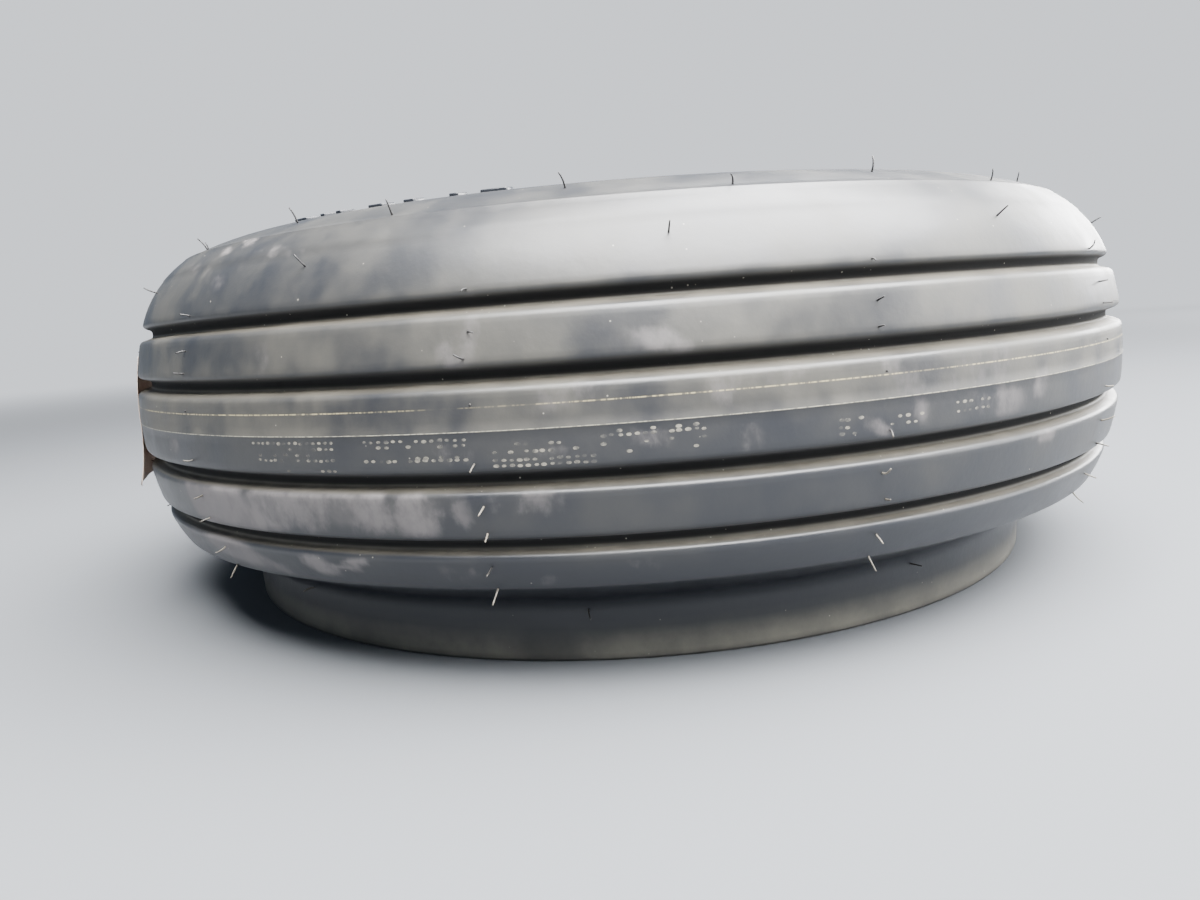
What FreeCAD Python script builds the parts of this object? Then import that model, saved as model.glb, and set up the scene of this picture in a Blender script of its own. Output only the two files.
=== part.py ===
# Aircraft nose-wheel tire with one chine, lying on its chined side, and a paper label on its tread.
import FreeCAD, Part
import cmath
import math
import os

# Sizes are in millimetres and angles in degrees.
# The tire's axis is Z, and the tip of its chine lies on z = 0.

# Tread: widths are measured along its arc, and depths square to it
outer_diameter = 444.5
tread_arc_radius = 127.0
tread_thickness = 16.0
centre_rib_width = 22.8
side_rib_width = 13.9
inner_groove_width = 6.4
outer_groove_width = 5.9
groove_depth = 6.4
groove_bottom_width = 3.2
groove_corner_bevel = 1.0
groove_lip_bevel = 0.6

# Shoulders and sidewalls: depths are measured from the crown towards the axis
section_width = 141.0
widest_depth = 60.25
ridge_depth = 24.25
ridge_fall = 8.6
wall_thickness = 11.0
liner_corner_share = 0.36

# Beads, for a rim of 8 inches with 4.25 inches between its flanges
bead_seat_radius = 101.6
bead_spread = 108.0
bead_width = 21.0
heel_radius = 6.0
flange_face = 15.0
flange_fillet_radius = 10.0
toe_face = 6.0
toe_bevel = 1.5

# Chine: a flap moulded below the lower shoulder, which turns spray away. The shoulder ends in an edge
# above it, at a distance from the middle plane, and is undercut from there to the chine.
undercut_edge_height = 48.2
undercut_edge_bevel = 0.8
undercut_slope = 24.0
chine_stand = 11.7
chine_tip_depth = 38.65
chine_tip_width = 6.0
chine_tip_bevel = 1.0
chine_draft = 2.0
chine_root_radius = 8.0
chine_back_root_radius = 5.0

# Paper label: stuck over two ribs, with its lower end standing off the tread
label_thickness = 0.3
label_glue = 0.1
label_length = 100.0
label_start_angle = -151.0
label_stuck_width = 26.0
label_loose_width = 25.7
label_lift = 3.0

# The section is drawn in one plane, each point a complex number: radius + height * 1j.
# Heights run from the middle plane of the tread to either side, so both halves share one drawing.
up = 1j
outer_radius = outer_diameter / 2
tread_middle = outer_radius - tread_arc_radius
half_width = section_width / 2
section_height = outer_radius - bead_seat_radius
liner_corner_radius = section_height * liner_corner_share
chine_reach = half_width + chine_stand
bead_height = bead_spread / 2
toe_height = bead_height - bead_width
widest_point = complex(outer_radius - widest_depth, half_width)
shoulder_ridge = complex(outer_radius - ridge_depth, half_width - ridge_fall)

axis = FreeCAD.Vector(0, 0, 1)
centre = FreeCAD.Vector(0, 0, 0)
full_turn = 360.0


def unit(vector):
    return vector / abs(vector)


def toward(middle, radius, point):
    """The point of a circle that lies in the direction of another point."""
    return middle + radius * unit(point - middle)


def foot(point, start, direction):
    """Foot of the perpendicular from a point to a line."""
    return start + direction * ((point - start) / direction).real


def last_crossing(start, direction, middle, radius):
    """The last point that a line, followed in its direction, shares with a circle."""
    nearest = foot(middle, start, direction)
    return nearest + direction * math.sqrt(radius ** 2 - abs(nearest - middle) ** 2)


def crossing(start, direction, other_start, other_direction):
    """The point where two lines meet."""
    across = other_direction * up
    return start + direction * ((other_start - start) / across).real / (direction / across).real


def tread_point(run):
    """Point of the tread at a distance from its middle, measured along the arc."""
    return tread_middle + tread_arc_radius * cmath.exp(1j * run / tread_arc_radius)


class Outline:
    """Lines and arcs that follow one another in the section, in its upper or lower half."""

    def __init__(self, start, half):
        self.half = half
        self.last = start
        self.edges = []

    def place(self, point):
        return FreeCAD.Vector(point.real, 0, chine_reach + self.half * point.imag)

    def line(self, end):
        self.edges.append(Part.LineSegment(self.place(self.last), self.place(end)).toShape())
        self.last = end

    def arc(self, middle, end):
        spread = unit(self.last - middle) + unit(end - middle)
        halfway = toward(middle, abs(end - middle), middle + spread)
        self.edges.append(Part.Arc(self.place(self.last), self.place(halfway), self.place(end)).toShape())
        self.last = end


def draw_groove(outline, start, width):
    """One groove, square to the tread: bevelled lips, sloped walls and a bottom with bevelled corners."""
    middle = tread_point(start + width / 2)
    inward = unit(tread_middle - middle)
    bottom = middle + groove_depth * inward
    floor_edge = bottom + inward * up * (groove_bottom_width / 2 - groove_corner_bevel)
    corner = bottom + inward * (up * groove_bottom_width / 2 - groove_corner_bevel)
    mouth = tread_point(start)
    lip = mouth + unit(corner - mouth) * groove_lip_bevel
    outline.arc(tread_middle, tread_point(start - groove_lip_bevel))
    near_side = (lip, corner, floor_edge)
    for point in near_side:
        outline.line(point)
    for point in reversed(near_side):
        outline.line(mirrored(point, middle, inward))
    outline.line(tread_point(start + width + groove_lip_bevel))


def mirrored(point, start, direction):
    """The point on the other side of a line, at the same distance."""
    return 2 * foot(point, start, direction) - point


def draw_tread(outline):
    """Half the tread: half the centre rib, a groove, a side rib and the groove at the shoulder."""
    inner_groove_start = centre_rib_width / 2
    outer_groove_start = inner_groove_start + inner_groove_width + side_rib_width
    draw_groove(outline, inner_groove_start, inner_groove_width)
    draw_groove(outline, outer_groove_start, outer_groove_width)


def shoulder_circle(tread_edge):
    """Middle and radius of the arc that leaves the tread smoothly and ends at the shoulder's ridge."""
    inward = unit(tread_middle - tread_edge)
    chord = shoulder_ridge - tread_edge
    radius = abs(chord) ** 2 / (2 * (chord / inward).real)
    return tread_edge + radius * inward, radius


def upper_wall_circle():
    """Middle and radius of the arc from the ridge to the widest point, where it runs level."""
    chord = shoulder_ridge - widest_point
    radius = abs(chord) ** 2 / (2 * ridge_fall)
    return widest_point - radius * up, radius


def draw_plain_shoulder(outline):
    """Shoulder, its ridge, and the sidewall out to its widest point."""
    outline.arc(shoulder_circle(outline.last)[0], shoulder_ridge)
    outline.arc(upper_wall_circle()[0], widest_point)


def draw_chined_shoulder(outline):
    """Shoulder down to its edge, the undercut below it, the chine's face, its tip, and its back to the wall."""
    shoulder_middle, shoulder_radius = shoulder_circle(outline.last)
    edge_rise = undercut_edge_height - shoulder_middle.imag
    edge = shoulder_middle + complex(math.sqrt(shoulder_radius ** 2 - edge_rise ** 2), edge_rise)
    edge_turn = undercut_edge_bevel / shoulder_radius
    undercut = -cmath.exp(-1j * math.radians(undercut_slope))
    draft = cmath.exp(1j * math.radians(chine_draft))
    face = up * draft
    back = up / draft
    face_tip = complex(outer_radius - chine_tip_depth, chine_reach)
    back_tip = face_tip - chine_tip_width
    root_middle = crossing(edge - undercut * up * chine_root_radius, undercut,
                           face_tip - face * up * chine_root_radius, face)
    wall_middle, wall_radius = upper_wall_circle()
    back_root_middle = last_crossing(back_tip + back * up * chine_back_root_radius, back,
                                     wall_middle, wall_radius + chine_back_root_radius)
    outline.arc(shoulder_middle, shoulder_middle + (edge - shoulder_middle) * cmath.exp(-1j * edge_turn))
    outline.line(edge + undercut * undercut_edge_bevel)
    outline.line(foot(root_middle, edge, undercut))
    outline.arc(root_middle, foot(root_middle, face_tip, face))
    outline.line(face_tip - face * chine_tip_bevel)
    outline.line(face_tip - chine_tip_bevel)
    outline.line(back_tip + chine_tip_bevel)
    outline.line(back_tip - back * chine_tip_bevel)
    outline.line(foot(back_root_middle, back_tip, back))
    outline.arc(back_root_middle, toward(wall_middle, wall_radius, back_root_middle))
    outline.arc(wall_middle, widest_point)


def draw_bead(outline):
    """Sidewall inside its widest point, face against the rim's flange, heel, seat and toe."""
    heel_middle = complex(bead_seat_radius + heel_radius, bead_height - heel_radius)
    fillet_middle = complex(heel_middle.real + flange_face, bead_height + flange_fillet_radius)
    chord = widest_point - fillet_middle
    wall_radius = (abs(chord) ** 2 - flange_fillet_radius ** 2) / (2 * (chord.imag + flange_fillet_radius))
    wall_middle = widest_point - wall_radius * up
    outline.arc(wall_middle, toward(wall_middle, wall_radius, fillet_middle))
    outline.arc(fillet_middle, fillet_middle - flange_fillet_radius * up)
    outline.line(heel_middle + heel_radius * up)
    outline.arc(heel_middle, heel_middle - heel_radius)
    outline.line(complex(bead_seat_radius, toe_height + toe_bevel))
    outline.line(complex(bead_seat_radius + toe_bevel, toe_height))
    outline.line(complex(bead_seat_radius + toe_face, toe_height))


def draw_liner(outline):
    """Inner surface: a cone up from the toe, a round corner and an arc alongside the tread."""
    crown_radius = tread_arc_radius - tread_thickness
    rise = half_width - wall_thickness - liner_corner_radius
    run = math.sqrt((crown_radius - liner_corner_radius) ** 2 - rise ** 2)
    corner_middle = complex(tread_middle + run, rise)
    to_toe = outline.last - corner_middle
    spread = math.acos(liner_corner_radius / abs(to_toe))
    outline.line(corner_middle + liner_corner_radius * unit(to_toe) * cmath.exp(-1j * spread))
    outline.arc(corner_middle, toward(tread_middle, crown_radius, corner_middle))
    outline.arc(tread_middle, tread_middle + crown_radius)


def revolve(edges, start_angle, sweep):
    """Solid turned about the tire's axis from a closed section, which is drawn in the plane of X and Z."""
    section = Part.Face(Part.Wire(Part.__sortEdges__(edges)))
    section.rotate(centre, axis, start_angle)
    return section.revolve(centre, axis, sweep)


def make_tire():
    """The whole tire, moulded in one piece: tread, shoulders, sidewalls, beads, liner and chine."""
    upper = Outline(complex(outer_radius, 0), 1)
    draw_tread(upper)
    draw_plain_shoulder(upper)
    draw_bead(upper)
    draw_liner(upper)
    lower = Outline(complex(outer_radius, 0), -1)
    draw_tread(lower)
    draw_chined_shoulder(lower)
    draw_bead(lower)
    draw_liner(lower)
    return revolve(upper.edges + lower.edges, 0, full_turn)


def make_paper_label():
    """A strip of paper that follows the tread, then bends away from it below the middle plane."""
    inner_radius = tread_arc_radius + label_glue
    inner_middle = tread_middle + inner_radius + 0j
    bend_radius = (label_loose_width ** 2 + label_lift ** 2) / (2 * label_lift)
    bend_middle = inner_middle + bend_radius
    loose_end = inner_middle + complex(label_lift, -label_loose_width)
    stuck_end = toward(tread_middle, inner_radius, tread_point(label_stuck_width))
    strip = Outline(stuck_end, 1)
    strip.arc(tread_middle, inner_middle)
    strip.arc(bend_middle, loose_end)
    strip.line(toward(bend_middle, bend_radius - label_thickness, loose_end))
    strip.arc(bend_middle, inner_middle + label_thickness)
    strip.arc(tread_middle, toward(tread_middle, inner_radius + label_thickness, stuck_end))
    strip.line(stuck_end)
    sweep = math.degrees(label_length / outer_radius)
    return revolve(strip.edges, label_start_angle, -sweep)


os.makedirs("parts", exist_ok=True)
for name, shape in (("tire", make_tire()), ("paper_label", make_paper_label())):
    shape.exportStep("parts/" + name + ".step")
    print(name, "valid:", shape.isValid(), "solids:", len(shape.Solids), "faces:", len(shape.Faces),
          "litres:", round(shape.Volume / 1e6, 3))
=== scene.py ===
import cmath
import math
import random

import bmesh
import bpy
import numpy as np
from mathutils import Matrix, Vector


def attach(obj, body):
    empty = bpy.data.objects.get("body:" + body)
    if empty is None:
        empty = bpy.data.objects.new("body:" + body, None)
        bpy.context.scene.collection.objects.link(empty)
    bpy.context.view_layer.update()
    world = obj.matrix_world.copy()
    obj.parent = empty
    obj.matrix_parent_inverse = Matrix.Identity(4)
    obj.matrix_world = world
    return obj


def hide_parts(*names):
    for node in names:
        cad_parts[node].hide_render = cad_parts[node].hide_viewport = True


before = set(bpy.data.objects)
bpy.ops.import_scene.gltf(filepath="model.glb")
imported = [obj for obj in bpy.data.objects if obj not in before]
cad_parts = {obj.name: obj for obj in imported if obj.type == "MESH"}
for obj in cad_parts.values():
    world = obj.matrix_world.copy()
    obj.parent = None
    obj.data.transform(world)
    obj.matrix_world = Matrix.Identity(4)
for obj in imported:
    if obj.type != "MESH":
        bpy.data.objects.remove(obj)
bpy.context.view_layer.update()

# The tire's body is one moulding of black rubber. Its section is drawn in edit mode with a pen that
# extrudes one vertex, round each half from the middle of the tread to the middle of the liner,
# and then spun about the axis. Points are complex numbers: radius + height above the middle plane, in mm.
mm = 0.001
middle_plane = 82.2
tread_middle = 95.25
tread_radius = 126.8
flash_height = 0.18
flash_half_width = 0.35
grooves = ((11.4, 6.4, 5.1), (31.7, 5.9, 4.2))
groove_floor = 2.7
groove_floor_round = 0.8
lip_round = 1.3
shoulder_ridge = complex(198.0, 61.9)
shoulder_band = complex(206.9, 54.6)
band_height = 0.15
band_slope = 0.5
ridge_height = 0.35
ridge_width = 0.7
ridge_inner_foot = complex(-0.7, 0.25)
ridge_round = 0.35
widest_point = complex(162.0, 70.5)
wall_radius = 79.6
flange_fillet = complex(122.6, 64.0)
flange_fillet_radius = 10.0
flange_face_height = 54.0
seat_radius = 101.6
heel_radius = 6.0
toe_start = complex(101.6, 33.0)
toe_end = complex(107.6, 33.0)
toe_round = 1.3
liner_radius = 111.0
liner_corner = complex(160.9, 16.1)
liner_corner_radius = 43.4
undercut_height = 48.2
undercut_slope = math.radians(24.0)
undercut_edge_round = 0.8
chine_face_tip = complex(183.6, 82.2)
chine_back_tip = complex(177.6, 82.2)
chine_face_slope = math.radians(92.0)
chine_back_slope = math.radians(88.0)
chine_tip_round = 1.1
face_root_radius = 8.0
back_root_radius = 5.0
visible_step = 3.0
hidden_step = 7.5
corner_segments = 3
spin_steps = 340
point_size = 3e-5

bpy.ops.object.select_all(action="DESELECT")
bpy.ops.mesh.primitive_plane_add(size=0.01)
tire = bpy.context.object
tire.name = "tire_body"
bpy.ops.object.mode_set(mode="EDIT")
bpy.context.tool_settings.mesh_select_mode = (True, False, False)
bpy.ops.mesh.merge(type="CENTER")
half = 1
pen = 0j
rounded_corners = []


def spot(point):
    """Place of a point of the section, in the half that is being drawn: 1 is the upper one, -1 the lower."""
    return Vector((point.real * mm, 0.0, (middle_plane + half * point.imag) * mm))


def draw_to(*points):
    global pen
    for point in points:
        bpy.ops.mesh.extrude_region_move(TRANSFORM_OT_translate={"value": spot(point) - spot(pen)})
        pen = point


def draw_straight(end, step=visible_step):
    start = pen
    count = max(1, round(abs(end - start) / step))
    draw_to(*[start + (end - start) * i / count for i in range(1, count + 1)])


def draw_arc(middle, end, step=visible_step):
    spoke = pen - middle
    turn = cmath.phase((end - middle) / spoke)
    count = max(3, math.ceil(abs(turn * spoke) / step))
    draw_to(*[middle + spoke * cmath.rect(1, turn * i / count) for i in range(1, count)], end)


def round_here(size):
    rounded_corners.append((spot(pen), size))


def pick_vertices(places):
    sketch = bmesh.from_edit_mesh(tire.data)
    for vertex in sketch.verts:
        vertex.select_set(any((vertex.co - place).length < point_size for place in places))
    bmesh.update_edit_mesh(tire.data)


def tread_point(run):
    """Point of the tread's arc at a distance along it from its middle."""
    return tread_middle + tread_radius * cmath.exp(1j * run / tread_radius)


def towards(middle, place, radius):
    """Point of the circle round middle on the line to place."""
    return middle + radius * (place - middle) / abs(place - middle)


def draw_tread_half():
    """Half of the tread, with grooves cut straight towards the axis: each by its start, width and depth."""
    draw_to(complex(tread_middle + tread_radius, flash_half_width))
    for start, width, depth in grooves:
        bottom = tread_point(start + width / 2) - depth
        draw_arc(tread_middle, tread_point(start))
        round_here(lip_round)
        draw_to(bottom - 1j * groove_floor / 2)
        round_here(groove_floor_round)
        draw_to(bottom + 1j * groove_floor / 2)
        round_here(groove_floor_round)
        draw_to(tread_point(start + width))
        round_here(lip_round)


def find_shoulder():
    """Centre and radius of the arc that runs on from the tread, without a bend, to the shoulder's ridge."""
    inwards = (tread_middle - pen) / abs(tread_middle - pen)
    chord = shoulder_ridge - pen
    centre = pen + inwards * abs(chord) ** 2 / (2 * (chord / inwards).real)
    return centre, abs(centre - shoulder_ridge)


def draw_inner_half():
    """From the widest point: lower sidewall, face against the rim's flange, heel, seat, toe and liner."""
    chord = widest_point - flange_fillet
    radius = (abs(chord) ** 2 - flange_fillet_radius ** 2) / (2 * (chord.imag + flange_fillet_radius))
    wall_middle = widest_point - 1j * radius
    draw_arc(wall_middle, towards(wall_middle, flange_fillet, radius))
    draw_arc(flange_fillet, flange_fillet - 1j * flange_fillet_radius, step=2.5)
    heel = complex(seat_radius + heel_radius, flange_face_height - heel_radius)
    draw_straight(heel + 1j * heel_radius, step=5.0)
    draw_arc(heel, heel - heel_radius, step=2.0)
    draw_straight(toe_start, hidden_step)
    round_here(toe_round)
    draw_straight(toe_end, hidden_step)
    way = toe_end - liner_corner
    spread = math.acos(liner_corner_radius / abs(way))
    touching = liner_corner + liner_corner_radius * way / abs(way) * cmath.exp(-1j * spread)
    draw_straight(touching, hidden_step)
    run = liner_corner - tread_middle
    draw_arc(liner_corner, liner_corner + liner_corner_radius * run / abs(run), hidden_step)
    draw_arc(tread_middle, complex(tread_middle + liner_radius, 0), hidden_step)


# The crown's first vertex is the tip of the flash, where the two halves of the mould met
parting = complex(tread_middle + tread_radius + flash_height, 0)
bpy.ops.transform.translate(value=spot(parting))
pen = parting
draw_tread_half()
shoulder, shoulder_radius = find_shoulder()
band_edge = towards(shoulder, shoulder_band, shoulder_radius)
band_rise = 1 + band_height / shoulder_radius
draw_arc(shoulder, band_edge)
draw_to(shoulder + (band_edge - shoulder) * cmath.rect(band_rise, band_slope / shoulder_radius))
ridge_foot = (shoulder_ridge - shoulder) * cmath.rect(band_rise, -ridge_width / shoulder_radius)
draw_arc(shoulder, shoulder + ridge_foot)
draw_to(shoulder_ridge + (shoulder_ridge - shoulder) * ridge_height / shoulder_radius)
round_here(ridge_round)
draw_to(shoulder_ridge + ridge_inner_foot)
wall = widest_point - 1j * wall_radius
draw_arc(wall, widest_point)
draw_inner_half()

# The lower half is drawn from the same vertex: its shoulder ends in an undercut edge above the chine
half = -1
bpy.ops.mesh.select_all(action="DESELECT")
pick_vertices([spot(parting)])
pen = parting
draw_tread_half()
shoulder, shoulder_radius = find_shoulder()
edge_rise = undercut_height - shoulder.imag
edge = shoulder + complex(math.sqrt(shoulder_radius ** 2 - edge_rise ** 2), edge_rise)
draw_arc(shoulder, edge)
round_here(undercut_edge_round)

# An arc that touches the undercut and the chine's face has its centre where their offsets cross
undercut = -cmath.rect(1, -undercut_slope)
face = cmath.rect(1, chine_face_slope)
face_normal = face * 1j
undercut_offset = edge - undercut * 1j * face_root_radius
gap = chine_face_tip - face_normal * face_root_radius - undercut_offset
face_root = undercut_offset + undercut * (gap / face_normal).real / (undercut / face_normal).real
draw_straight(face_root + undercut * 1j * face_root_radius)
draw_arc(face_root, face_root + face_normal * face_root_radius, step=1.2)
draw_straight(chine_face_tip)
round_here(chine_tip_round)
draw_straight(chine_back_tip)
round_here(chine_tip_round)

# The arc between the chine's back and the sidewall has its centre where the back's offset crosses
# a circle round the wall's centre
back = cmath.rect(1, chine_back_slope)
back_root = chine_back_tip + back * 1j * back_root_radius
to_wall = (wall - back_root) / back
back_root += back * (to_wall.real + math.sqrt((wall_radius + back_root_radius) ** 2 - to_wall.imag ** 2))
draw_to(back_root - back * 1j * back_root_radius)
draw_arc(back_root, towards(wall, back_root, wall_radius), step=1.8)
draw_arc(wall, widest_point)
draw_inner_half()

bpy.ops.mesh.select_all(action="SELECT")
bpy.ops.mesh.remove_doubles(threshold=2e-5)
for size in sorted({size for place, size in rounded_corners}):
    pick_vertices([place for place, corner_size in rounded_corners if corner_size == size])
    bpy.ops.mesh.bevel(affect="VERTICES", offset=size * mm, segments=corner_segments)
bpy.ops.mesh.select_all(action="SELECT")
bpy.ops.mesh.spin(steps=spin_steps, angle=math.tau, center=(0, 0, 0), axis=(0, 0, 1))
bpy.ops.mesh.select_all(action="SELECT")
bpy.ops.mesh.remove_doubles(threshold=1e-5)
bpy.ops.mesh.normals_make_consistent(inside=False)
bpy.ops.object.mode_set(mode="OBJECT")
bpy.ops.object.shade_smooth()

# Handling has left grime on the rubber: pale scuffed patches, and dust in the grooves and low on the chine.
# A brown haze differs from rib to rib. It is partly grime and partly painted light: there is more of it above
# the parting line, and none low under the shoulder where shade falls. The grooves are painted dark as painted
# shade. Bands are (height in mm, share). Azimuths run from the side that faces the camera to +X.
haze_and_light_bands = (
    (0, 0.1), (20, 0.0), (34, 0.0), (41, 0.05), (44, 0.1), (57, 0.15), (68, 0.12), (71, 0.12), (82, 0.16),
    (82.4, 0.42), (93, 0.42), (97, 0.38), (113, 0.34), (117, 0.3), (130, 0.24), (142, 0.2), (153, 0.2),
)
chine_dust_bands = ((0, 0.15), (1.2, 0.8), (3, 1.0), (7, 0.8), (12, 0.0))
wiped_azimuth = -9.5
wiped_half_width = 3.6
wiped_share = 0.6
outer_side_radius = 175.0
tread_half_height = 38.5
groove_dark_from = 0.9
groove_dark_over = 1.1
patch_fullness = 1.7
patch_steepness = 2.2

# Each patch is (azimuth in degrees, height in mm, half width, half height, strength, lean in degrees per mm)
lowest_rib_patches = (
    (-46, 42, 4, 5, 0.4, 0.3), (-39.5, 41.5, 4.6, 5, 0.9, 0.5), (-34.4, 39, 2.0, 3.6, 0.75, 0.6),
    (-27.2, 40.5, 1.5, 3.6, 0.8, 0.3), (-24.4, 41, 1.4, 3.0, 0.85, -0.7), (-13.4, 39, 1.6, 3.6, 0.42, 0),
    (-7.3, 37.0, 1.4, 2.2, 0.3, -0.5), (0.5, 41, 0.8, 3, 0.3, 0), (-95, 38, 5, 5, 0.6, 0.3),
    (120, 40, 9, 6, 0.6, 0.2),
)
second_rib_patches = (
    (-40.5, 56, 3.6, 8.5, 0.95, 0.15), (-36, 57, 4.0, 9, 0.85, 0.1), (-31, 59, 3.5, 7, 0.7, 0),
    (-26.5, 59.5, 2.4, 7, 0.55, 0), (-23.0, 60, 1.8, 7, 0.62, 0), (-19.6, 59.5, 2.0, 7.5, 0.58, 0),
    (-16.0, 59, 1.6, 8, 0.6, 0), (-13.2, 60, 1.2, 6, 0.4, 0.2), (-29.5, 66, 12, 2.2, 0.45, 0),
    (-7.5, 62, 3.6, 4, 0.36, 0), (36.5, 63, 1.6, 2.2, 0.55, 0.2), (75, 58, 6, 6, 0.5, 0.1),
    (-78, 59, 5, 6, 0.5, 0.1), (160, 60, 12, 7, 0.7, 0.1),
)
middle_rib_patches = (
    (-43, 78, 3.5, 4, 0.35, 0), (-12.6, 76, 1.6, 3.5, 0.3, 0), (-4.6, 76, 2.4, 2.0, 0.3, 0.4),
    (1.6, 77.5, 1.2, 3, 0.42, 0), (8.5, 76.5, 0.9, 4.5, 0.36, 0), (18.5, 74.5, 0.9, 3.4, 0.5, 0.25),
    (21.8, 77.5, 0.6, 4.5, 0.42, 0), (30.0, 77, 2.8, 5, 0.42, 0), (35.5, 80, 0.9, 6, 0.5, 0),
    (19.6, 87.5, 1.6, 7, 0.4, 0), (22.6, 87, 0.9, 6, 0.3, 0), (25.0, 87, 0.7, 6, 0.3, 0),
    (-3.5, 90.5, 2.6, 4.5, 0.3, 0), (7, 89.5, 1.2, 5, 0.34, 0), (11.5, 89.5, 2.0, 5, 0.34, 0),
    (29, 89, 3.0, 5, 0.3, 0), (95, 89, 6, 5, 0.4, 0), (-150, 77, 5, 4, 0.4, 0),
)
fourth_rib_patches = (
    (-28, 104, 2.0, 6, 0.35, 0), (-12, 103, 1.2, 6, 0.36, 0), (-10.6, 112, 1.0, 9, 0.4, 0),
    (-1, 105, 0.9, 6, 0.2, 0), (3, 103, 1.8, 4.5, 0.42, 0.3), (-120, 104, 8, 7, 0.4, 0),
    (140, 104, 3, 7, 0.4, 0),
)
upper_shoulder_patches = (
    (-41, 134, 2.6, 4.5, 0.34, 0.9), (-40, 141.5, 0.9, 1.2, 0.55, 0.4), (-37, 143.5, 1.5, 1.3, 0.6, 0.6),
    (-30.5, 138, 3.2, 3.2, 0.34, 1.4), (-8.4, 120, 1.6, 4.5, 0.3, 0), (100, 130, 7, 5, 0.4, 0.5),
    (-170, 128, 6, 6, 0.4, -0.4),
)
patches = (*lowest_rib_patches, *second_rib_patches, *middle_rib_patches, *fourth_rib_patches,
           *upper_shoulder_patches)

count = len(tire.data.vertices)
coordinates = np.empty(count * 3, dtype=np.float32)
tire.data.vertices.foreach_get("co", coordinates)
x, y, z = coordinates.reshape(-1, 3).T
azimuths = np.degrees(np.arctan2(x, -y))
radii = np.hypot(x, y) / mm
heights = z / mm
haze_and_light = np.interp(heights, *zip(*haze_and_light_bands))
patch = np.zeros(count)
for centre_azimuth, centre_height, half_width, half_height, strength, lean in patches:
    above = heights - centre_height
    turn = (azimuths - centre_azimuth + lean * above + 180.0) % 360.0 - 180.0
    away = np.abs(turn / half_width) ** patch_steepness + np.abs(above / half_height) ** patch_steepness
    patch = np.maximum(patch, strength * np.minimum(1.0, patch_fullness * np.exp(-away)))
wiped = wiped_share * np.exp(-((azimuths - wiped_azimuth) / wiped_half_width) ** 4)
dust = np.interp(heights, *zip(*chine_dust_bands)) * (1 - wiped)
# The groove mask is the depth below the tread's arc: it paints shade in the grooves and places dust in them
rise = np.abs(heights - middle_plane)
depths = tread_middle + np.sqrt(tread_radius ** 2 - rise ** 2) - radii
groove = np.clip((depths - groove_dark_from) / groove_dark_over, 0, 1) * (rise < tread_half_height)
for name, values in (("haze_and_light", haze_and_light), ("patch", patch), ("groove", groove), ("dust", dust)):
    layer = tire.data.attributes.new(name, "FLOAT", "POINT")
    layer.data.foreach_set("value", (values * (radii > outer_side_radius)).astype(np.float32))

rubber = bpy.data.materials.new("moulded_rubber")
rubber.use_nodes = True


def add_node(material, kind, **settings):
    made = material.node_tree.nodes.new(kind)
    for name, value in settings.items():
        setattr(made, name, value)
    return made


def feed(material, socket, value):
    if isinstance(value, bpy.types.NodeSocket):
        material.node_tree.links.new(value, socket)
    else:
        socket.default_value = value


def work_out(material, operation, *values, clamp=False):
    made = add_node(material, "ShaderNodeMath", operation=operation, use_clamp=clamp)
    for socket, value in zip(made.inputs, values):
        feed(material, socket, value)
    return made.outputs[0]


def ramp(material, value, low, high, bottom=0.0, top=1.0):
    """A smooth step from bottom to top while the value goes from low to high."""
    made = add_node(material, "ShaderNodeMapRange", interpolation_type="SMOOTHSTEP")
    for socket, setting in zip(made.inputs, (value, low, high, bottom, top)):
        feed(material, socket, setting)
    return made.outputs[0]


def mix_colour(material, amount, first, second):
    made = add_node(material, "ShaderNodeMix", data_type="RGBA")
    feed(material, made.inputs[0], amount)
    for socket, colour in ((made.inputs[6], first), (made.inputs[7], second)):
        feed(material, socket, colour if isinstance(colour, bpy.types.NodeSocket) else (*colour, 1.0))
    return made.outputs[2]


def noise_on(material, place, scale, detail=3.0, roughness=0.55, stretch=(1, 1, 1)):
    mapping = add_node(material, "ShaderNodeMapping")
    mapping.inputs["Scale"].default_value = stretch
    feed(material, mapping.inputs["Vector"], place)
    made = add_node(material, "ShaderNodeTexNoise")
    made.inputs["Scale"].default_value = scale
    made.inputs["Detail"].default_value = detail
    made.inputs["Roughness"].default_value = roughness
    feed(material, made.inputs["Vector"], mapping.outputs[0])
    return made.outputs["Fac"]


def own_place(material):
    return add_node(material, "ShaderNodeTexCoord").outputs["Object"]


def axes_of(material, vector):
    made = add_node(material, "ShaderNodeSeparateXYZ")
    feed(material, made.inputs[0], vector)
    return made.outputs


def layer_value(name):
    return add_node(rubber, "ShaderNodeAttribute", attribute_name=name).outputs["Fac"]


clean_black = (0.0110, 0.0125, 0.0165)
brown_haze_and_light = (0.086, 0.080, 0.064)
pale_scuff = (0.142, 0.129, 0.127)
chine_dust = (0.145, 0.137, 0.112)
groove_painted_shade = (0.005, 0.0048, 0.0045)
groove_dust = (0.125, 0.113, 0.088)
cream_speck = (0.34, 0.315, 0.26)
tan_print = (0.40, 0.34, 0.19)
flash_painted_highlight = (0.32, 0.30, 0.23)

place = own_place(rubber)
smears = noise_on(rubber, place, scale=90, detail=4, roughness=0.6, stretch=(1, 1, 0.5))
smears = ramp(rubber, smears, low=0.34, high=0.68)
clouds = noise_on(rubber, place, scale=30, detail=3, roughness=0.5)
clouds = ramp(rubber, clouds, low=0.36, high=0.64)
mottle = noise_on(rubber, place, scale=60, detail=5, roughness=0.62)
mottle = ramp(rubber, mottle, low=0.3, high=0.72)
torn = noise_on(rubber, place, scale=110, detail=5, roughness=0.62, stretch=(1, 1, 0.6))
torn = ramp(rubber, torn, low=0.34, high=0.66)

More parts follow.
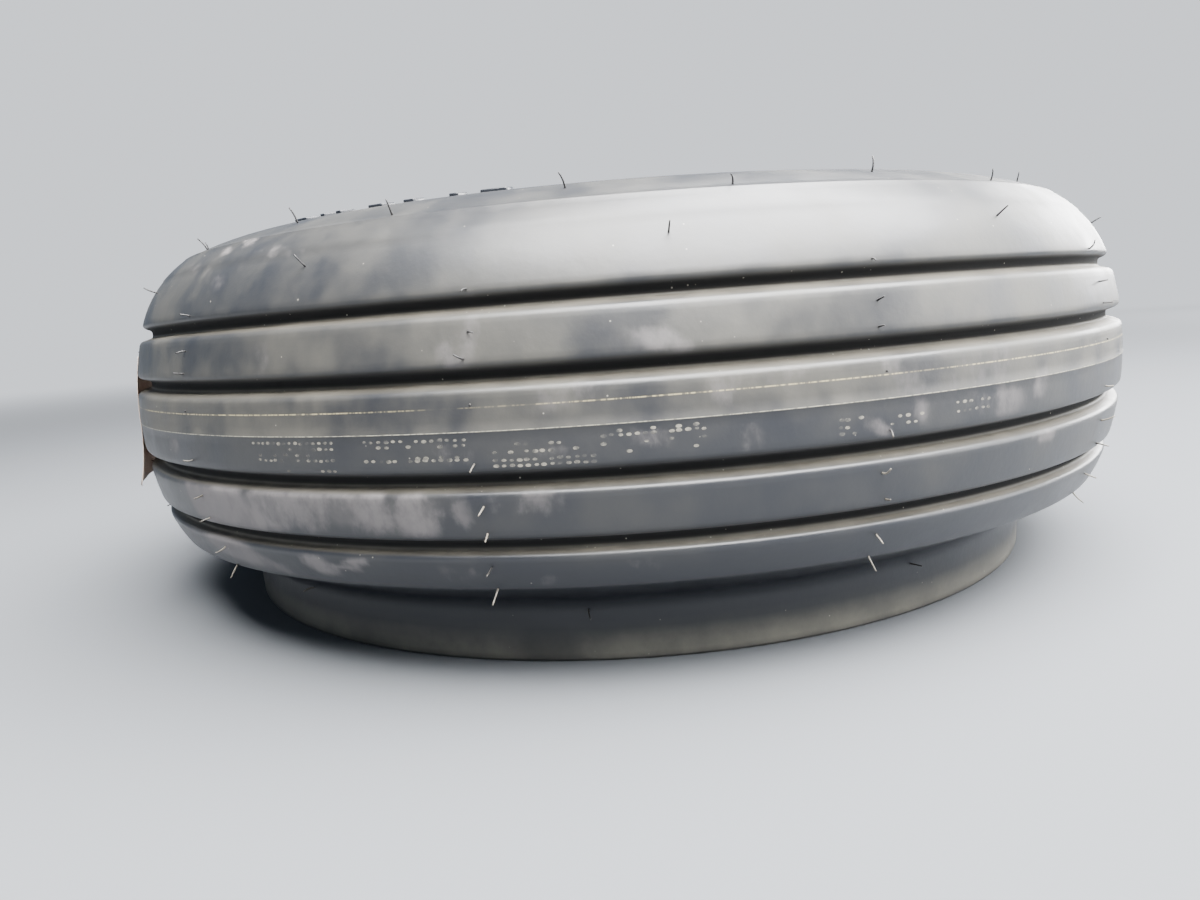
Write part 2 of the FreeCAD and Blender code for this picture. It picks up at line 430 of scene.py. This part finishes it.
uneven = 0.2
for pattern, share in ((smears, 0.3), (mottle, 0.45), (clouds, 0.8)):
    uneven = work_out(rubber, "MULTIPLY_ADD", pattern, share, uneven)
# The haze is partly grime and partly painted light: its bands give more above the parting line and none low
# under the shoulder
haze_and_light_here = work_out(rubber, "MULTIPLY", layer_value("haze_and_light"), uneven)
colour = mix_colour(rubber, haze_and_light_here, clean_black, brown_haze_and_light)

ragged = work_out(rubber, "MULTIPLY", torn, 0.27)
ragged = work_out(rubber, "MULTIPLY_ADD", layer_value("patch"), 0.75, ragged)
patch_here = ramp(rubber, ragged, low=0.27, high=0.87, top=0.9)
colour = mix_colour(rubber, patch_here, colour, pale_scuff)
dust_share = work_out(rubber, "MULTIPLY_ADD", mottle, 0.4, 0.55)
dust_here = work_out(rubber, "MULTIPLY", layer_value("dust"), dust_share)
colour = mix_colour(rubber, dust_here, colour, chine_dust)

# Dust settles on what faces up in a groove; the rest of the groove is painted dark, as painted shade
facing = axes_of(rubber, add_node(rubber, "ShaderNodeNewGeometry").outputs["Normal"])
upward = ramp(rubber, facing["Z"], low=-0.05, high=0.6)
groove_here = layer_value("groove")
colour = mix_colour(rubber, groove_here, colour, groove_painted_shade)
settled = work_out(rubber, "MULTIPLY", work_out(rubber, "MULTIPLY", groove_here, upward),
                   work_out(rubber, "MULTIPLY_ADD", mottle, 0.4, 0.6))
colour = mix_colour(rubber, settled, colour, groove_dust)

# Specks lie in about one cell in fifty of a fine pattern, and in one in five in the grooves
speck_cells = 460
cells = add_node(rubber, "ShaderNodeTexVoronoi")
cells.inputs["Scale"].default_value = speck_cells
feed(rubber, cells.inputs["Vector"], place)
drawn_lot = add_node(rubber, "ShaderNodeSeparateColor")
feed(rubber, drawn_lot.inputs[0], cells.outputs["Color"])
needed_lot = work_out(rubber, "MULTIPLY_ADD", groove_here, -0.16, 0.978)
speck_shape = ramp(rubber, cells.outputs["Distance"], low=0.04, high=0.16, bottom=0.7, top=0.0)
speck_there = work_out(rubber, "GREATER_THAN", drawn_lot.outputs[0], needed_lot)
specks = work_out(rubber, "MULTIPLY", speck_there, speck_shape)
colour = mix_colour(rubber, specks, colour, cream_speck)

# A thin tan line runs round the middle rib, and the flash carries a painted highlight: a pale line along its
# ridge
tan_line_level = 0.08879
flash_level = 0.08222
crown_radius = 0.2195
fine_breaks = noise_on(rubber, place, scale=900, detail=2, roughness=0.5, stretch=(1, 1, 0.2))
long_breaks = ramp(rubber, noise_on(rubber, place, scale=26, detail=3, roughness=0.6), low=0.25, high=0.5)
axes = axes_of(rubber, place)
across_axis = work_out(rubber, "MULTIPLY", axes["X"], axes["X"])
across_axis = work_out(rubber, "MULTIPLY_ADD", axes["Y"], axes["Y"], across_axis)
on_crown = work_out(rubber, "GREATER_THAN", work_out(rubber, "SQRT", across_axis), crown_radius)


def ring_line(level, inner, outer, strength, breaks):
    """Mask of a line round the crown at a height, full within one distance of it and gone at another."""
    away = work_out(rubber, "ABSOLUTE", work_out(rubber, "SUBTRACT", axes["Z"], level))
    whole = work_out(rubber, "MULTIPLY", ramp(rubber, away, inner, outer, bottom=strength, top=0.0), on_crown)
    return work_out(rubber, "MULTIPLY", whole, breaks)


tan_breaks = ramp(rubber, fine_breaks, low=0.42, high=0.56, bottom=0.15, top=0.9)
tan_breaks = work_out(rubber, "MULTIPLY", tan_breaks, long_breaks)
tan_line = ring_line(tan_line_level, inner=0.00008, outer=0.00028, strength=0.75, breaks=tan_breaks)
colour = mix_colour(rubber, tan_line, colour, tan_print)
flash_highlight_breaks = ramp(rubber, fine_breaks, low=0.3, high=0.6, bottom=0.35)
flash_highlight_line = ring_line(flash_level, inner=0.00006, outer=0.0002, strength=0.8, breaks=flash_highlight_breaks)
colour = mix_colour(rubber, flash_highlight_line, colour, flash_painted_highlight)

# Every kind of grime makes the rubber's satin skin duller, and so do the haze with its painted light and the
# grooves
roughness = 0.34
in_groove = work_out(rubber, "MULTIPLY_ADD", upward, -0.5, 0.65)
for mask, added in (
        (mottle, 0.06), (patch_here, 0.22), (haze_and_light_here, 0.2), (dust_here, 0.25), (groove_here, in_groove)):
    roughness = work_out(rubber, "MULTIPLY_ADD", mask, added, roughness, clamp=True)
grain = noise_on(rubber, place, scale=420, detail=4, roughness=0.6)
waves = noise_on(rubber, place, scale=45, detail=3, roughness=0.5)
relief = work_out(rubber, "MULTIPLY_ADD", waves, 1.5, work_out(rubber, "MULTIPLY", grain, 0.35))


def add_bump(material, height, strength, distance):
    bump = add_node(material, "ShaderNodeBump")
    bump.inputs["Strength"].default_value = strength
    bump.inputs["Distance"].default_value = distance
    feed(material, bump.inputs["Height"], height)
    return bump.outputs[0]


shader = rubber.node_tree.nodes["Principled BSDF"]
feed(rubber, shader.inputs["Base Color"], colour)
feed(rubber, shader.inputs["Roughness"], roughness)
feed(rubber, shader.inputs["Normal"], add_bump(rubber, relief, strength=0.35, distance=0.0004))
tire.data.materials.append(rubber)

# Vent whiskers are threads of rubber, up to 6 mm long, that the mould's air holes leave standing.
# Three shapes are drawn from a six-sided ring and copied to twelve rows across the tread, to the upper
# shoulder between the rows, to ten places on the chine and to two rings on the upper sidewall.
whisker_radius = 0.00033
whisker_length = 5.0
whisker_joints = 5
whisker_taper = 0.93
whisker_sink = 0.0003
whisker_bends = (("straight", 1.5), ("leaning", 6.0), ("curled", 14.0))
shape_lots = (0, 0, 0, 1, 1, 1, 2)
side_lean = 0.10
out_lean = (-0.04, 0.16)
whisker_black = (0.012, 0.011, 0.011)
whisker_dust_and_light = (0.15, 0.133, 0.105)

whisker_rubber = bpy.data.materials.new("whisker_rubber")
whisker_rubber.use_nodes = True
place = own_place(whisker_rubber)
level = axes_of(whisker_rubber, place)["Z"]
# Whiskers are paler low down and darker high up: partly dust on the low ones, partly painted shade on the
# high ones, which stand dark against the bright shoulder
paler_below = ramp(whisker_rubber, level, low=0.03, high=0.12, bottom=0.12, top=-0.14)
dustiness_and_shade = work_out(whisker_rubber, "ADD", noise_on(whisker_rubber, place, scale=55, detail=1), paler_below)
dust_and_shade_share = ramp(whisker_rubber, dustiness_and_shade, low=0.46, high=0.66)
shader = whisker_rubber.node_tree.nodes["Principled BSDF"]
tint = mix_colour(whisker_rubber, dust_and_shade_share, whisker_black, whisker_dust_and_light)
feed(whisker_rubber, shader.inputs["Base Color"], tint)
shader.inputs["Roughness"].default_value = 0.5

whisker_shapes = []
for name, bend in whisker_bends:
    bpy.ops.object.select_all(action="DESELECT")
    bpy.ops.mesh.primitive_circle_add(vertices=6, radius=whisker_radius, fill_type="NGON")
    whisker = bpy.context.object
    whisker.name = "whisker_" + name
    bpy.ops.object.mode_set(mode="EDIT")
    tip = Vector((0, 0, 0))
    heading = Vector((0, 0, whisker_length / whisker_joints * mm))
    for joint in range(whisker_joints):
        bpy.ops.mesh.extrude_region_move(TRANSFORM_OT_translate={"value": heading})
        tip += heading
        bpy.ops.transform.resize(value=(whisker_taper, whisker_taper, whisker_taper), center_override=tip)
        bpy.ops.transform.rotate(value=math.radians(-bend), orient_axis="X", center_override=tip)
        heading = Matrix.Rotation(math.radians(bend), 3, "X") @ heading
    bpy.ops.mesh.select_all(action="SELECT")
    bpy.ops.mesh.normals_make_consistent(inside=False)
    bpy.ops.object.mode_set(mode="OBJECT")
    bpy.ops.object.shade_smooth()
    whisker.data.materials.append(whisker_rubber)
    whisker_shapes.append(whisker)

chance = random.Random(12)
bpy.context.view_layer.update()
beside_tire = 0.3
above_tire = 0.2


def outward_at(azimuth):
    return Vector((math.sin(math.radians(azimuth)), -math.cos(math.radians(azimuth)), 0))


def find_on_side(azimuth, height):
    """Place and direction of the rubber at an azimuth and height in mm, looked for from outside."""
    outward = outward_at(azimuth)
    return tire.ray_cast(outward * beside_tire + Vector((0, 0, height * mm)), -outward)[1:3]


def find_on_top(azimuth, radius):
    """Place and direction of the rubber at an azimuth and radius in mm, looked for from above."""
    start = outward_at(azimuth) * radius * mm + Vector((0, 0, above_tire))
    return tire.ray_cast(start, Vector((0, 0, -1)))[1:3]


def lay_copy(pattern, matrix):
    copy = pattern.copy()
    copy.data = pattern.data.copy()
    copy.data.transform(matrix)
    bpy.context.collection.objects.link(copy)
    return copy


# Each vent across the tread is (height in mm, length of its whisker)
tread_vents = (
    (120.7, 3.2), (109.3, 3.3), (102.0, 3.5), (73.3, 3.2),
    (60.9, 4.3), (52.7, 4.4), (41.8, 4.8), (34.3, 5.0),
)
tread_rows = 12
first_row = -10.85
vent_scatter = 0.3
length_spread = (0.8, 1.15)
stub_height = 89.8
stub_length = 0.8
shoulder_vent_height = 131.8
shoulder_lengths = (4.6, 5.6)
top_vents = ((6.9, 187.0), (21.3, 195.5))
top_lengths = (4.0, 6.0)
chine_vents = 10
first_chine_vent = -5.1
chine_vent_height = 18.0
chine_lengths = (4.2, 5.4)

roots = []
for row in range(tread_rows):
    azimuth = first_row + 360 / tread_rows * row
    for height, length in tread_vents:
        root = find_on_side(azimuth + chance.uniform(-vent_scatter, vent_scatter), height)
        roots.append((root, length * chance.uniform(*length_spread)))
    roots.append((find_on_side(azimuth, stub_height), stub_length))
    between = azimuth + 180 / tread_rows
    roots.append((find_on_side(between, shoulder_vent_height), chance.uniform(*shoulder_lengths)))
    for offset, radius in top_vents:
        roots.append((find_on_top(azimuth + offset, radius), chance.uniform(*top_lengths)))
for vent in range(chine_vents):
    azimuth = first_chine_vent + 360 / chine_vents * vent
    roots.append((find_on_side(azimuth, chine_vent_height), chance.uniform(*chine_lengths)))
whiskers = []
for (root, normal), length in roots:
    lean = Vector((chance.gauss(0, side_lean), chance.gauss(0, side_lean), chance.gauss(*out_lean)))
    shape = whisker_shapes[chance.choice(shape_lots) if length > stub_length else 0]
    standing = (normal + lean).to_track_quat("Z", "Y").to_matrix().to_4x4()
    twist = Matrix.Rotation(chance.uniform(0, math.tau), 4, "Z")
    stretch = Matrix.Diagonal((1, 1, length / whisker_length, 1))
    sunk = Matrix.Translation(root - normal * whisker_sink)
    whiskers.append(lay_copy(shape, sunk @ standing @ twist @ stretch))

# Plain raised bars stand on the upper sidewall. They are low blocks of the same rubber with softened
# edges, moulded with the wall in three groups round it. Each bar is (azimuth, length in units of 4 mm).
bar_radius = 172.5
bar_size = (4.0, 7.0, 1.6)
bar_edge = 0.0003
bar_groups = (0, 120, 240)
bar_places = (
    (-38.4, 1.8), (-34.2, 0.6), (-31.5, 0.6), (-26.0, 1.5), (-21.6, 1.0), (-16.2, 0.8), (-11.8, 2.2),
)
bpy.ops.object.select_all(action="DESELECT")
bpy.ops.mesh.primitive_cube_add(size=mm)
bar = bpy.context.object
bar.name = "raised_bar"
bpy.ops.object.mode_set(mode="EDIT")
bpy.ops.transform.resize(value=bar_size)
bpy.ops.mesh.bevel(offset=bar_edge, segments=2, affect="EDGES")
bpy.ops.object.mode_set(mode="OBJECT")
bpy.ops.object.shade_smooth()
bar.data.materials.append(rubber)
bpy.context.view_layer.update()
bars = []
for group in bar_groups:
    for azimuth, length in bar_places:
        root, normal = find_on_top(group + azimuth, bar_radius)
        sideways = normal.cross(root).normalized()
        standing = Matrix((sideways, normal.cross(sideways), normal)).transposed().to_4x4()
        stretch = Matrix.Diagonal((length, 1, 1, 1))
        bars.append(lay_copy(bar, Matrix.Translation(root) @ standing @ stretch))

# Worn rows of cream paint dots cross the lower half of the middle rib. Each group is a few rows,
# given by its first and last azimuth, and by the height in mm and the share of dots still there in each row.
dot_groups = (
    (-31.0, -22.6, ((80.2, 0.9), (78.4, 0.35), (76.6, 0.3), (75.0, 0.85), (71.8, 0.5))),
    (-19.6, -11.6, ((80.2, 0.85), (78.6, 0.4), (75.4, 0.3), (74.6, 0.85))),
    (-9.4, -2.4, ((78.2, 0.2), (76.2, 0.4), (74.0, 0.95), (72.4, 0.9))),
    (-1.6, 5.4, ((80.4, 0.4), (79.2, 0.9), (77.0, 0.3), (74.6, 0.2))),
    (15.4, 17.0, ((77.6, 0.7), (75.4, 0.7), (73.6, 0.9))),
    (19.6, 22.2, ((76.8, 0.5), (74.8, 0.6))),
    (25.6, 28.8, ((78.4, 0.8), (75.8, 0.9))),
)
dot_spacing = 0.6
dot_radius = 0.00060
dot_depth = 0.0002
dot_stretch = (1.3, 0.75, 0.15)
dot_sizes = (0.75, 1.15)
turn_scatter = 0.06
row_scatter = 0.15
worn_paint = (0.040, 0.039, 0.037)
cream_paint = (0.19, 0.175, 0.14)

paint = bpy.data.materials.new("marking_paint")
paint.use_nodes = True
wear = noise_on(paint, own_place(paint), scale=260, detail=4, roughness=0.6)
still_there = ramp(paint, wear, low=0.38, high=0.62)
shader = paint.node_tree.nodes["Principled BSDF"]
feed(paint, shader.inputs["Base Color"], mix_colour(paint, still_there, worn_paint, cream_paint))
shader.inputs["Roughness"].default_value = 0.7
bpy.ops.object.select_all(action="DESELECT")
bpy.ops.mesh.primitive_cylinder_add(vertices=10, radius=dot_radius, depth=dot_depth)
dot = bpy.context.object
dot.name = "paint_dot"
dot.data.materials.append(paint)
bpy.context.view_layer.update()
dot_roots = []
for first, last, rows in dot_groups:
    number = round((last - first) / dot_spacing)
    for height, share in rows:
        for step in range(number + 1):
            azimuth = first + (last - first) * step / number + chance.uniform(-turn_scatter, turn_scatter)
            if chance.random() < share:
                dot_roots.append(find_on_side(azimuth, height + chance.uniform(-row_scatter, row_scatter)))
dots = []
length_share, width_share, depth_share = dot_stretch
for root, normal in dot_roots:
    size = chance.uniform(*dot_sizes)
    standing = normal.to_track_quat("Z", "Y").to_matrix().to_4x4()
    stretch = Matrix.Diagonal((size * length_share, size * width_share, depth_share, 1))
    dots.append(lay_copy(dot, Matrix.Translation(root) @ standing @ stretch))

for pattern in (*whisker_shapes, bar, dot):
    bpy.data.objects.remove(pattern)
bpy.ops.object.select_all(action="DESELECT")
for piece in (*whiskers, *bars, *dots):
    piece.select_set(True)
tire.select_set(True)
bpy.context.view_layer.objects.active = tire
bpy.ops.object.join()
tire.name = "tire_dressed"
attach(tire, "root")
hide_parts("tire")

# The paper label is a strip of thin brown paper, 100 mm long. Its upper half is stuck over two ribs,
# and its lower half has come away and curls out from the tread, with a rippled edge.
label_top = 26.0
label_width = 51.7
label_first_azimuth = -61.0
label_turn = 25.78
glued_radius = 126.86
glued_run_radius = 127.0
curl_out = 3.0
ripple_rest = 0.15
paper_thickness = 0.00022
pale_fibre = (0.46, 0.375, 0.315)
dark_fibre = (0.36, 0.285, 0.235)
brown_stain = (0.18, 0.125, 0.10)

bpy.ops.object.select_all(action="DESELECT")
bpy.ops.mesh.primitive_grid_add(x_subdivisions=48, y_subdivisions=26, size=1)
label = bpy.context.object
label.name = "paper_label_dressed"
loose_width = label_width - label_top
curl_radius = (loose_width ** 2 + curl_out ** 2) / (2 * curl_out)
for vertex in label.data.vertices:
    along = vertex.co.x + 0.5
    rise = label_top - (vertex.co.y + 0.5) * label_width
    azimuth = label_first_azimuth - label_turn * along
    if rise >= 0:
        point = tread_middle + glued_radius * cmath.exp(1j * rise / glued_run_radius)
        out = point.real
        rise = point.imag
    else:
        loose = (rise / loose_width) ** 2
        ripple = 0.35 * math.sin(along * 11.0 + 0.7) + 0.25 * math.sin(along * 23.0)
        out = tread_middle + glued_radius + curl_radius - math.sqrt(curl_radius ** 2 - rise ** 2)
        out += loose * (ripple - ripple_rest)
    vertex.co = outward_at(azimuth) * out * mm + Vector((0, 0, (middle_plane + rise) * mm))
bpy.ops.object.mode_set(mode="EDIT")
bpy.ops.mesh.select_all(action="SELECT")
bpy.ops.mesh.normals_make_consistent(inside=False)
bpy.ops.object.mode_set(mode="OBJECT")
thickness = label.modifiers.new("paper_thickness", "SOLIDIFY")
thickness.thickness = paper_thickness
thickness.offset = 1.0
bpy.ops.object.modifier_apply(modifier=thickness.name)
bpy.ops.object.shade_smooth()

paper = bpy.data.materials.new("brown_paper")
paper.use_nodes = True
place = own_place(paper)
fibres = noise_on(paper, place, scale=520, detail=4, roughness=0.65, stretch=(1, 1, 3))
stains = noise_on(paper, place, scale=60, detail=4, roughness=0.6)
stains = ramp(paper, stains, low=0.4, high=0.65, top=0.45)
colour = mix_colour(paper, ramp(paper, fibres, low=0.3, high=0.7), dark_fibre, pale_fibre)
colour = mix_colour(paper, stains, colour, brown_stain)
shader = paper.node_tree.nodes["Principled BSDF"]
feed(paper, shader.inputs["Base Color"], colour)
shader.inputs["Roughness"].default_value = 0.82
shader.inputs["Subsurface Weight"].default_value = 0.5
shader.inputs["Subsurface Radius"].default_value = (1.0, 1.0, 1.0)
shader.inputs["Subsurface Scale"].default_value = 0.001
feed(paper, shader.inputs["Normal"], add_bump(paper, fibres, strength=0.4, distance=0.0002))
label.data.materials.append(paper)
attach(label, "root")
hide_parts("paper_label")

# The tire lies in a studio on a plain pale floor that glows towards the horizon. The camera is low and
# close to the tread, and rolled a little. A wide soft light hangs overhead, and three weaker ones stand
# behind at the right, at the right and in front.
floor_size = 14
floor_near = 0.7
floor_far = 3.2
near_floor = (0.115, 0.120, 0.128)
far_floor = (0.01, 0.01, 0.01)
no_glow = (0, 0, 0)
far_glow = (1.05, 1.10, 1.175)

bpy.ops.object.select_all(action="DESELECT")
bpy.ops.mesh.primitive_plane_add(size=floor_size)
floor = bpy.context.object
floor.name = "studio_floor"
floor_paint = bpy.data.materials.new("pale_floor")
floor_paint.use_nodes = True
distance = add_node(floor_paint, "ShaderNodeVectorMath", operation="LENGTH")
feed(floor_paint, distance.inputs[0], own_place(floor_paint))
far = ramp(floor_paint, distance.outputs["Value"], floor_near, floor_far)
shader = floor_paint.node_tree.nodes["Principled BSDF"]
feed(floor_paint, shader.inputs["Base Color"], mix_colour(floor_paint, far, near_floor, far_floor))
feed(floor_paint, shader.inputs["Emission Color"], mix_colour(floor_paint, far, no_glow, far_glow))
shader.inputs["Emission Strength"].default_value = 1.0
shader.inputs["Roughness"].default_value = 1.0
shader.inputs["Specular IOR Level"].default_value = 0.0
floor.data.materials.append(floor_paint)

camera_place = (0, -0.45383, 0.11157)
camera_turn = 1.83
camera_down = 8.87
camera_roll = -4.36
lens = bpy.data.cameras.new("photo_camera")
lens.sensor_width = 36.0
lens.lens = 26.31
lens.clip_start = 0.01
camera = bpy.data.objects.new("photo_camera", lens)
bpy.context.collection.objects.link(camera)
camera.matrix_world = (Matrix.Translation(camera_place)
                       @ Matrix.Rotation(math.radians(camera_turn), 4, "Z")
                       @ Matrix.Rotation(math.radians(90 - camera_down), 4, "X")
                       @ Matrix.Rotation(math.radians(camera_roll), 4, "Z"))
bpy.context.scene.camera = camera

tire_centre = (0, 0, 0.1)
for name, lamp_place, target, width, depth, watts in (
        ("overhead", (0.42, -0.4, 1.25), (0.16, -0.2, 0.1), 1.8, 1.4, 375),
        ("back_right", (1.9, 1.5, 0.8), tire_centre, 1.2, 1.0, 130),
        ("right_fill", (1.9, -0.35, 0.6), tire_centre, 1.5, 0.9, 46),
        ("front_fill", (-0.5, -2.2, 1.0), tire_centre, 1.6, 1.0, 3)):
    glow = bpy.data.lights.new(name, "AREA")
    glow.shape = "RECTANGLE"
    glow.size = width
    glow.size_y = depth
    glow.energy = watts
    lamp = bpy.data.objects.new(name, glow)
    lamp.location = lamp_place
    lamp.rotation_euler = (Vector(target) - Vector(lamp_place)).to_track_quat("-Z", "Y").to_euler()
    lamp.visible_camera = False
    bpy.context.collection.objects.link(lamp)

light_from_around = (0.62, 0.78, 1.0)
light_strength = 0.34
backdrop_seen = (0.84, 0.88, 0.94)
backdrop_strength = 1.25
surroundings = bpy.data.worlds.new("studio")
surroundings.use_nodes = True
backdrop = surroundings.node_tree.nodes["Background"]
seen = add_node(surroundings, "ShaderNodeLightPath").outputs["Is Camera Ray"]
feed(surroundings, backdrop.inputs["Color"], mix_colour(surroundings, seen, light_from_around, backdrop_seen))
feed(surroundings, backdrop.inputs["Strength"],
     work_out(surroundings, "MULTIPLY_ADD", seen, backdrop_strength - light_strength, light_strength))
bpy.context.scene.world = surroundings
